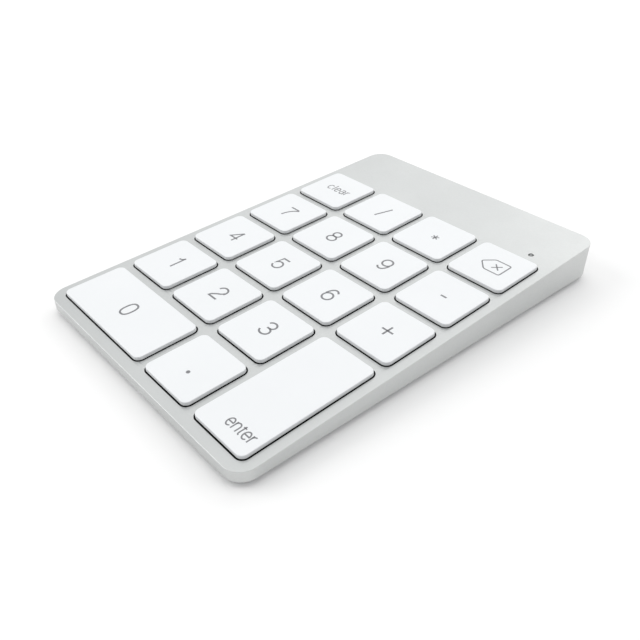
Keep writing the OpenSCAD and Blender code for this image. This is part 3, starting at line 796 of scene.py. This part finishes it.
def backspace_strokes():
    """The outline of a tag that points left, with a cross in it."""
    outline = [(-3.62, 0), (-1.15, 2.58), (3.42, 2.58), (3.42, -2.58), (-1.15, -2.58)]
    cross = 1.0
    middle = Vector((1.0, 0))
    strokes = [(rounded_path(outline, 0.55), True)]
    for sy in (-1, 1):
        ends = (middle + Vector((-cross, -sy * cross)), middle + Vector((cross, sy * cross)))
        strokes.append((list(ends), False))
    return strokes


def add_stroke(bm, points, closed, width):
    """A thin raised ribbon along a path, with mitred corners."""
    count = len(points)
    left, right = [], []
    for i, point in enumerate(points):
        before = points[i - 1] if closed or i > 0 else None
        after = points[(i + 1) % count] if closed or i < count - 1 else None
        ways = [v.normalized() for v in (
            point - before if before is not None else None,
            after - point if after is not None else None,
        ) if v is not None]
        way = sum(ways, Vector((0, 0))).normalized()
        side = Vector((-way.y, way.x))
        reach = width / 2 / max(side.dot(Vector((-ways[0].y, ways[0].x))), 0.35)
        left.append(point + side * reach)
        right.append(point - side * reach)
    top, base = CAP_RISE + INK_T, CAP_RISE - INK_T
    loops = [
        [bm.verts.new((p.x, p.y, z)) for p in side] for side, z in
        ((left, base), (left, top), (right, top), (right, base))
    ]
    spans = range(count) if closed else range(count - 1)
    for i in spans:
        j = (i + 1) % count
        for a, b in zip(loops, loops[1:] + loops[:1]):
            bm.faces.new((a[i], a[j], b[j], b[i]))
    if not closed:
        for i in (0, count - 1):
            bm.faces.new([loop[i] for loop in loops])


def legend_place(key, centre, length):
    """Middle of a key's legend about the key's middle."""
    if key == "enter":
        return Vector((ENTER_X, -length / 2 + ENTER_UP))
    row = round((centre.y - key_place("0")[0].y) / ROW_PITCH)
    return Vector((CLEAR_X if key == "clear" else LEGEND_X, LEGEND_Y + ROW_NUDGE[row]))


def build_legend(key):
    """A key's printed sign, as a thin layer of ink on its cap."""
    centre, _, length = key_place(key)
    middle = legend_place(key, centre, length)
    bm = bmesh.new()
    if key == "decimal":
        dot = circle_ring(DOT_R, 24, middle + Vector(DOT_PLACE))
        loft(bm, [lift(dot, z) for z in (CAP_RISE - INK_T, CAP_RISE + INK_T)])
    else:
        stroke = STROKES.get(key, STROKE)
        if key in GLYPHS:
            strokes = GLYPHS[key]
        elif key == "backspace":
            strokes = backspace_strokes()
        else:
            strokes = letters(key)
        for points, closed in strokes:
            add_stroke(bm, [p + middle for p in points], closed, stroke)
    place = DECK @ Matrix.Translation((centre.x, centre.y, 0))
    legend = make_piece("legend_" + key, bm, LEGEND, place)
    shade(legend, 30, weighted=False)
    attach(legend, "key_" + key)


# ---- Levers, domes and wires under the keys ----------------------------------------------

def lever_mesh(length, width, outer):
    """A frame of two arms and two round end bars, lying flat about its pivot.

    The inner lever's pivot pins reach out into the outer lever's arms.
    """
    arm_w = 0.7
    hub_r = 0.5 if outer else 0.25
    pin = 0 if outer else 0.9
    steps = 12
    bm = bmesh.new()
    for end in (-1, 1):
        add_bar(bm, (-width / 2, end * length / 2, 0), (width / 2, end * length / 2, 0), BAR_D / 2)
    for side in (-1, 1):
        x = side * (width - arm_w) / 2
        sections = []
        for i in range(steps + 1):
            y = length * (i / steps - 0.5)
            ring = rounded_ring(arm_w, BAR_D, 0.1, 2)
            sections.append([Vector((x + p.x, y, p.y)) for p in ring])
        loft(bm, sections)
        start = x - side * arm_w / 2
        add_bar(bm, (start, 0, 0), (start + side * (arm_w + pin), 0, 0), hub_r, 16)
    return bm


def build_levers(key):
    """The crossed pair. Each lever leans from the plate up to the cap."""
    place = key_frame(key) @ Matrix.Translation((0, 0, MIDDLE_AXIS))
    for name, length, width, way in (
        ("outer_lever_", OUTER_LEVER_L, OUTER_LEVER_W, 1),
        ("inner_lever_", INNER_LEVER_L, INNER_LEVER_W, -1),
    ):
        lean = Matrix.Rotation(way * math.asin(LEVER_RISE / length), 4, "X")
        lever = make_piece(name + key, lever_mesh(length, width, way > 0), LEVER,
                           place @ lean)
        shade(lever, 40)
        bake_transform(lever)
    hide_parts("lever_pair_" + key)


def build_dome(key):
    """A silicone dome: a foot, a thin cone and a solid top."""
    height = CAP_CEILING - LAYER_TOP - DOME_PLAY
    inside = [(0.6, height - 1.25), (1.25, height - 1.15), (1.9, 0.3), (2.1, 0)]
    outside = [
        (2.7, 0), (2.7, 0.16), (2.55, 0.28), (2.2, 0.4), (1.55, height - 0.8),
        (1.35, height - 0.62), (1.3, height - 0.1), (1.2, height),
    ]
    bm = bmesh.new()
    loft(bm, [lift(circle_ring(radius, 32), z) for radius, z in inside + outside])
    place = key_frame(key) @ Matrix.Translation((0, 0, LAYER_TOP))
    dome = make_piece("dome_" + key, bm, SILICONE, place)
    shade(dome, 40)
    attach(dome, "case")
    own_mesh(dome)
    return dome


def build_layers():
    """What lies under the deck and barely shows keeps its CAD shape, in better materials."""
    # The hinge plate and the membrane are near black: painted shade seen through the gaps round the
    # keys.
    for node, material in (
        ("hinge_plate", GAP_SHADE_STEEL), ("membrane_circuit", GAP_SHADE_FILM), ("deck_screws", STEEL),
        ("board_screws", STEEL), ("main_board", BOARD), ("board_chips", CHIP), ("battery", FOIL),
        ("battery_lead", BLACK_PLASTIC), ("membrane_connector", LEVER), ("power_switch", STEEL),
        ("pairing_switch", STEEL), ("status_led", LEVER),
        ("zero_key_wire", STEEL), ("enter_key_wire", STEEL),
    ):
        repaint(node, material)


# ---- Back edge ---------------------------------------------------------------------------

def along_back(x, z, y):
    """A frame on the back wall whose z points out of it."""
    return Matrix.Translation((x, y, z)) @ Matrix.Rotation(-TAU / 4, 4, "X")


PORT_SKIN = 0.3
PORT_BLOCK_L = 1.2
TONGUE_W, TONGUE_T = 6.69, 0.7


def port_ring(inset, y):
    """The port shell's outline, inset, at a place y."""
    width, height = PORT_HIGH.x - PORT_LOW.x, PORT_HIGH.z - PORT_LOW.z
    points = rounded_ring(width - 2 * inset, height - 2 * inset, height / 2 - inset - 0.01, 12)
    return [Vector((p.x, y, p.y + PORT_Z)) for p in points]


def build_port_shell():
    """A rounded steel tube, closed at its inner end, with a soft lip."""
    inner, mouth = PORT_LOW.y, PORT_HIGH.y
    lip = 0.08
    bm = bmesh.new()
    loft(bm, [
        port_ring(0, inner), port_ring(0, mouth - lip), port_ring(lip, mouth),
        port_ring(PORT_SKIN - lip, mouth), port_ring(PORT_SKIN, mouth - lip),
        port_ring(PORT_SKIN, inner + PORT_SKIN),
    ])
    shell = make_piece("port_shell", bm, STEEL)
    shade(shell)
    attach(shell, "case")
    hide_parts("charging_port_shell")


def build_port_tongue():
    """The tongue with a thinner tip, and the block at the port's inner end that holds it."""
    low, high = node_box("charging_port_tongue")
    block_y = low.y + PORT_BLOCK_L
    bm = bmesh.new()
    loft(bm, [port_ring(PORT_SKIN, low.y), port_ring(PORT_SKIN, block_y)])
    stations = ((0, block_y - 0.1), (0, high.y - 0.3), (0.12, high.y - 0.1), (0.2, high.y))
    rings = []
    for inset, y in stations:
        points = rounded_ring(TONGUE_W - 2 * inset, TONGUE_T - 2 * inset, 0.1, 3)
        rings.append([Vector((p.x, y, p.y + PORT_Z)) for p in points])
    loft(bm, rings)
    tongue = make_piece("port_tongue", bm, BLACK_PLASTIC)
    shade(tongue)
    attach(tongue, "case")
    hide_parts("charging_port_tongue")


def build_port_contacts():
    """Twelve gold contacts on each face of the tongue."""
    low, high = node_box("charging_port_tongue")
    start_y, end_y = low.y + PORT_BLOCK_L + 0.2, high.y - 0.4
    contacts, pitch, half_w, half_t = 12, 0.5, 0.12, 0.02
    bm = bmesh.new()
    for side in (-1, 1):
        z = PORT_Z + side * TONGUE_T / 2
        for i in range(contacts):
            x = (i - (contacts - 1) / 2) * pitch
            add_box(bm, (x - half_w, start_y, z - half_t), (x + half_w, end_y, z + half_t), 0.01)
    pads = make_piece("port_contacts", bm, GOLD)
    shade(pads)
    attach(pads, "case")


def build_slider():
    """A knob with three grip ridges, on a stem that goes through the slot in the wall."""
    low, high = node_box("power_slider")
    x, z = (low.x + high.x) / 2, (low.z + high.z) / 2
    knob_w, knob_h, knob_t, knob_r = high.x - low.x, high.z - low.z, 0.5, 0.5
    half_w, half_h = 0.7, 0.5
    bm = bmesh.new()
    add_box(bm, (x - half_w, low.y, z - half_h),
            (x + half_w, high.y - knob_t + 0.1, z + half_h), 0.05)
    ridge_w, ridge_l, ridge_r, ridge_rise, pitch = 0.34, knob_h - 0.5, 0.165, 0.12, 0.75
    face = high.y - ridge_rise
    soft = 0.12
    stations = ((0, -knob_t), (0, -soft), (soft * 0.4, -soft * 0.4), (soft, 0))
    rings = []
    for inset, rise in stations:
        points = rounded_ring(knob_w - 2 * inset, knob_h - 2 * inset, knob_r - inset, 5)
        rings.append([Vector((p.x + x, face + rise, p.y + z)) for p in points])
    loft(bm, rings)
    for ridge in (-1, 0, 1):
        rings = []
        for inset, rise in ((0, -0.16), (0, 0.04), (0.06, 0.1), (0.12, ridge_rise)):
            points = rounded_ring(ridge_w - 2 * inset, ridge_l - 2 * inset, ridge_r - inset, 4)
            rings.append([Vector((p.x + x + ridge * pitch, face + rise, p.y + z)) for p in points])
        loft(bm, rings)
    slider = make_piece("power_slider_knob", bm, BLACK_PLASTIC)
    shade(slider)
    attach(slider, "power_slider")
    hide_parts("power_slider")


def build_pairing_button():
    """A round button with a hollowed face, a flange behind the wall and a stem."""
    low, high = node_box("pairing_button")
    x, z = (low.x + high.x) / 2, (low.z + high.z) / 2
    radius = 1.6
    stem_r = 0.75
    face = high.y
    flange_y = face - 1.4
    flange_h, flange_t, flange_r = 2.8, 0.5, 0.8
    bm = bmesh.new()
    profile = [
        (stem_r, low.y - face), (stem_r, flange_y - flange_t - face), (radius, flange_y - face),
        (radius, -0.22), (radius - 0.05, -0.12), (radius - 0.16, -0.05), (radius - 0.35, -0.02),
        (0.9, -0.1), (0.45, -0.16), (0.05, -0.18),
    ]
    turned(bm, profile, along_back(x, z, face), 40)
    points = rounded_ring(high.x - low.x, flange_h, flange_r, 6)
    ends = (flange_y - flange_t, flange_y)
    loft(bm, [[Vector((p.x + x, y, p.y + z)) for p in points] for y in ends])
    button = make_piece("pairing_button_cap", bm, BLACK_PLASTIC)
    shade(button)
    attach(button, "pairing_button")
    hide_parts("pairing_button")


def build_light():
    """A clear pipe with a flange under the deck and a narrower lens in the hole."""
    centre = light_place()
    flange_r, flange_t = 1.2, 0.5
    soft = 0.05
    bm = bmesh.new()
    profile = [
        (LIGHT_R - soft, -LIGHT_PIPE_L), (LIGHT_R, -LIGHT_PIPE_L + soft),
        (LIGHT_R, -DECK_T - flange_t), (flange_r, -DECK_T - flange_t), (flange_r, -DECK_T),
        (LIGHT_R, -DECK_T), (LIGHT_R, -0.5), (LENS_R, -0.4), (LENS_R, -0.1),
        (LENS_R * 0.85, -soft), (LENS_R * 0.5, -0.03), (0.03, -0.02),
    ]
    turned(bm, profile, DECK @ Matrix.Translation((centre.x, centre.y, 0)), 32)
    light = make_piece("status_light_pipe", bm, LENS)
    shade(light, 40)
    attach(light, "case")
    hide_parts("light_pipe")


# ---- Underside ---------------------------------------------------------------------------

FOOT_R = 4.0

# Blind holes in the cover's underside, with their play: radius and depth
FOOT_HOLE = (4.05, 0.3)
SCREW_HOLE = (1.6, 0.6)

# Posts on the cover, which the board's screws and the middle case screws go into. The middle
# posts end a drop below the deck's top face.
BOARD_POSTS = ((-28.4, 49), (28.4, 49))
BOARD_POST_R, BOARD_BORE_R, BOARD_POST_TOP = 1.7, 0.85, 3.2
MIDDLE_POST_R, MIDDLE_POST_DROP = 1.8, 2.6


def foot_places():
    """Middles of the four feet, from their node's box."""
    _, high = node_box("rubber_feet")
    return [
        (sx * (high.x - FOOT_R), sy * (high.y - FOOT_R)) for sx in (-1, 1) for sy in (-1, 1)
    ]


def blind_hole(bm, place, size, count):
    """A round hole in the cover's underside, with a small chamfer. Returns its mouth."""
    radius, depth = size
    soft = 0.1
    rings = [
        lift(circle_ring(radius + soft, count, place), COVER_BOTTOM),
        lift(circle_ring(radius, count, place), COVER_BOTTOM + soft),
        lift(circle_ring(radius, count, place), COVER_BOTTOM + depth),
    ]
    return loft(bm, rings, False, True)[0]


def build_cover():
    """The flat cover inside the case's lip, with its holes below and its posts above."""
    bm = bmesh.new()
    play = LIP_T + 0.1
    soft = 0.2
    shell = loft(bm, [
        case_ring(play + soft, lambda y: COVER_BOTTOM),
        case_ring(play + soft * 0.3, lambda y: COVER_BOTTOM + soft * 0.3),
        case_ring(play, lambda y: COVER_BOTTOM + soft),
        case_ring(play, lambda y: COVER_TOP),
    ], cap_first=False)
    holes = [blind_hole(bm, place, FOOT_HOLE, 40) for place in foot_places()]
    holes += [blind_hole(bm, place, SCREW_HOLE, 32) for place in screw_places()]
    fill_between(bm, [shell[0]] + holes)
    foot = COVER_TOP - 0.1
    for place in BOARD_POSTS:
        top = BOARD_POST_TOP
        add_post(bm, place, BOARD_POST_R, BOARD_BORE_R, (foot, top), (COVER_TOP, top))
    for place in screw_places()[:2]:
        top = deck_height(place[1]) - MIDDLE_POST_DROP
        add_post(bm, place, MIDDLE_POST_R, SCREW_BORE_R, (foot, top), (COVER_TOP, top))
    cover = make_piece("base_cover", bm, BASE)
    shade(cover)
    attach(cover, "case")
    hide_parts("bottom_cover")


def build_feet():
    """Four round feet with a soft edge and a shallow hollow underneath."""
    bm = bmesh.new()
    profile = [
        (3.95, 1.0), (FOOT_R, 0.9), (FOOT_R, 0.35), (3.9, 0.14), (3.7, 0.03), (3.5, 0.0),
        (2.9, 0.0), (2.75, 0.05), (2.6, 0.08), (0.1, 0.1),
    ]
    for x, y in foot_places():
        turned(bm, profile, Matrix.Translation((x, y, 0)), 48)
    feet = make_piece("feet", bm, RUBBER)
    shade(feet)
    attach(feet, "case")
    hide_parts("rubber_feet")


def build_case_screws():
    """Four round-headed screws, each with a cross in its head and a plain shank."""
    bm = bmesh.new()
    low, high = node_box("case_screws")
    shank_r = 0.7
    head_t = 0.6
    profile = [
        (0.3, low.z + 0.3), (0.42, low.z + 0.02), (0.9, low.z), (1.25, low.z + 0.1),
        (SCREW_HEAD_R, low.z + 0.3), (SCREW_HEAD_R, low.z + head_t), (shank_r, low.z + head_t),
        (0.68, high.z - 0.3), (0.4, high.z),
    ]
    arm, half_w = 0.78, 0.16
    for x, y in screw_places():
        turned(bm, profile, Matrix.Translation((x, y, 0)), 32)
        for half_x, half_y in ((half_w, arm), (arm, half_w)):
            add_box(bm, (x - half_x, y - half_y, low.z + 0.012),
                    (x + half_x, y + half_y, low.z + 0.05), 0.01)
    screws = make_piece("case_screw_set", bm, STEEL)
    shade(screws)
    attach(screws, "case")
    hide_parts("case_screws")


# ---- Floor, lights and camera ------------------------------------------------------------

def build_floor():
    """A plain pale floor that reaches past the view."""
    bm = bmesh.new()
    reach = 4000
    corners = [(-reach, -reach, 0), (reach, -reach, 0), (reach, reach, 0), (-reach, reach, 0)]
    bm.faces.new([bm.verts.new(c) for c in corners])
    bmesh.ops.transform(bm, matrix=Matrix.Scale(MM, 4), verts=bm.verts)
    mesh = bpy.data.meshes.new("floor")
    bm.to_mesh(mesh)
    bm.free()
    floor = bpy.data.objects.new("floor", mesh)
    bpy.context.scene.collection.objects.link(floor)
    mesh.materials.append(surface("studio_floor", (0.95, 0.943, 0.938), 0.9, tint=0.002, bump=0.01,
                                  spread=0.01, Specular_IOR_Level=0.0))


# Round softboxes, all aimed at the keypad: name, degrees clockwise from +Y, height in degrees, watts
SOFTBOXES = [
    ("back_softbox", -8, 24, 0.82),
    ("back_left_softbox", -25, 30, 0.51),
    ("left_softbox", -60, 35, 0.49),
    ("high_left_softbox", -75, 48, 0.16),
    ("front_left_softbox", -135, 30, 2.71),
    ("back_right_softbox", 45, 30, 1.17),
    ("overhead_softbox", 0, 88, 1.48),
]
SOFTBOX_SIZE = 0.7
SOFTBOX_DISTANCE = 0.9
SOFTBOX_COLOR = (1, 0.992, 0.98)
WORLD_STRENGTH = 0.67
WORLD_COLOR = (0.965, 0.985, 1, 1)


def area_light(name, azimuth, elevation, power):
    """A round softbox at a direction from the origin, aimed at it."""
    light = bpy.data.lights.new(name, "AREA")
    light.shape = "DISK"
    light.size = SOFTBOX_SIZE
    light.energy = power
    light.color = SOFTBOX_COLOR
    lamp = bpy.data.objects.new(name, light)
    azimuth, elevation = math.radians(azimuth), math.radians(elevation)
    way = Vector((
        math.sin(azimuth) * math.cos(elevation),
        math.cos(azimuth) * math.cos(elevation),
        math.sin(elevation),
    ))
    lamp.location = way * SOFTBOX_DISTANCE
    lamp.rotation_euler = (-way).to_track_quat("-Z", "Y").to_euler()
    bpy.context.scene.collection.objects.link(lamp)


def build_lights():
    """An even pale surround and the softboxes."""
    world = bpy.data.worlds.new("studio")
    world.use_nodes = True
    background = world.node_tree.nodes["Background"]
    background.inputs["Color"].default_value = WORLD_COLOR
    background.inputs["Strength"].default_value = WORLD_STRENGTH
    bpy.context.scene.world = world
    for name, azimuth, elevation, power in SOFTBOXES:
        area_light(name, azimuth, elevation, power)
    bpy.context.scene.view_settings.view_transform = "Standard"


# The view: angles in degrees, distance and aim in millimetres, focal length for a 36 mm sensor
SENSOR_W = 36
VIEW_AZIMUTH = 48.854
VIEW_ELEVATION = 35.494
VIEW_ROLL = 0.17
VIEW_DISTANCE = 163.96
VIEW_AIM = (13.15, -14.72, 5.0)
FOCAL_LENGTH = 39.912


def build_camera():
    """The camera at the view above, rolled a little about its own axis."""
    data = bpy.data.cameras.new("camera")
    data.sensor_width = SENSOR_W
    data.lens = FOCAL_LENGTH
    data.clip_start = 0.005
    camera = bpy.data.objects.new("camera", data)
    azimuth, elevation = math.radians(VIEW_AZIMUTH), math.radians(VIEW_ELEVATION)
    forward = Vector((
        -math.sin(azimuth) * math.cos(elevation),
        math.cos(azimuth) * math.cos(elevation),
        -math.sin(elevation),
    ))
    camera.location = (Vector(VIEW_AIM) - forward * VIEW_DISTANCE) * MM
    aim = forward.to_track_quat("-Z", "Y").to_matrix()
    roll = Matrix.Rotation(math.radians(VIEW_ROLL), 3, "Z")
    camera.rotation_euler = (aim @ roll).to_euler()
    bpy.context.scene.collection.objects.link(camera)
    bpy.context.scene.camera = camera


# ---- Scene -------------------------------------------------------------------------------

build_camera()
build_floor()
build_lights()
build_layers()
build_case()
for key in KEYS:
    build_key(key)
    build_legend(key)
    build_levers(key)
    build_dome(key)
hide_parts("rubber_domes")
build_port_shell()
build_port_tongue()
build_port_contacts()
build_slider()
build_pairing_button()
build_light()
build_cover()
build_feet()
build_case_screws()

bpy.context.view_layer.update()
